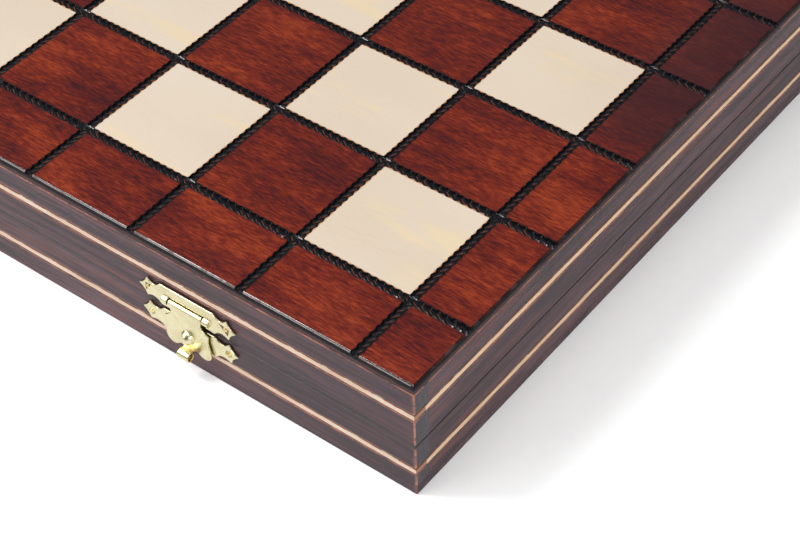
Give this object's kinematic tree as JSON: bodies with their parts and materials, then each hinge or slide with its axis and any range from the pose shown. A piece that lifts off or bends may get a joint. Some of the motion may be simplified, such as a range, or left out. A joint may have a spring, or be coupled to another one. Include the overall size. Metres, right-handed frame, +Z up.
{
  "type": "chess set with board",
  "caption": "Flat wooden chess case with a hinged lid that carries the playing board, brass latches on the front, and turned men lying in felt-lined bays in its base.",
  "frame": {"origin": "middle of the underside of the closed case, level with the surface it rests on", "axes": "+Z up through the playing surface, +Y from the latches towards the hinges, along the files of the board, +X to the right of someone who faces the latches"},
  "size_m": [0.404, 0.4274, 0.0493],
  "materials": {
    "case_wood": "dark brown stain, satin lacquer, open straight grain",
    "board_wood": "red-brown stained and plain pale squares under gloss lacquer, black burnt lines between them",
    "inlay_wood": "pale unstained strip, satin lacquer",
    "brass": "pale plated sheet brass, half polished",
    "felt": "dark green felt",
    "light_men": "pale turned wood, satin lacquer",
    "dark_men": "dark brown stained turned wood, satin lacquer"
  },
  "bodies": {
    "base": {"base_felt": "felt", "base_inlay": "inlay_wood", "base_panel": "case_wood", "base_wall_back": "case_wood", "base_wall_front": "case_wood", "base_wall_left": "case_wood", "base_wall_right": "case_wood", "dark_bishop_1": "dark_men", "dark_bishop_2": "dark_men", "dark_king": "dark_men", "dark_knight_1": "dark_men", "dark_knight_2": "dark_men", "dark_pawn_1": "dark_men", "dark_pawn_2": "dark_men", "dark_pawn_3": "dark_men", "dark_pawn_4": "dark_men", "dark_pawn_5": "dark_men", "dark_pawn_6": "dark_men", "dark_pawn_7": "dark_men", "dark_pawn_8": "dark_men", "dark_queen": "dark_men", "dark_rook_1": "dark_men", "dark_rook_2": "dark_men", "divider_back": "case_wood", "divider_front": "case_wood", "hinge_left_base_leaf": "brass", "hinge_left_pin": "brass", "hinge_right_base_leaf": "brass", "hinge_right_pin": "brass", "latch_left_lower_plate": "brass", "latch_right_lower_plate": "brass", "light_bishop_1": "light_men", "light_bishop_2": "light_men", "light_king": "light_men", "light_knight_1": "light_men", "light_knight_2": "light_men", "light_pawn_1": "light_men", "light_pawn_2": "light_men", "light_pawn_3": "light_men", "light_pawn_4": "light_men", "light_pawn_5": "light_men", "light_pawn_6": "light_men", "light_pawn_7": "light_men", "light_pawn_8": "light_men", "light_queen": "light_men", "light_rook_1": "light_men", "light_rook_2": "light_men"},
    "lid": {"board_panel": "board_wood", "hinge_left_lid_leaf": "brass", "hinge_right_lid_leaf": "brass", "latch_left_upper_plate": "brass", "latch_right_upper_plate": "brass", "lid_felt": "felt", "lid_inlay": "inlay_wood", "lid_wall_back": "case_wood", "lid_wall_front": "case_wood", "lid_wall_left": "case_wood", "lid_wall_right": "case_wood"},
    "left_hasp": {"hasp_left": "brass"},
    "right_hasp": {"hasp_right": "brass"}
  },
  "joints": [
    {"name": "lid_hinge", "type": "hinge", "parent": "base", "child": "lid", "pos_m": [0, 0.2108, 0.0222], "axis": [-1, 0, 0], "range_deg": [0, 148]},
    {"name": "left_hasp_hinge", "type": "hinge", "parent": "lid", "child": "left_hasp", "pos_m": [-0.112, -0.209, 0.0275], "axis": [-1, 0, 0], "range_deg": [0, 150]},
    {"name": "right_hasp_hinge", "type": "hinge", "parent": "lid", "child": "right_hasp", "pos_m": [0.112, -0.209, 0.0275], "axis": [-1, 0, 0], "range_deg": [0, 150]}
  ]
}
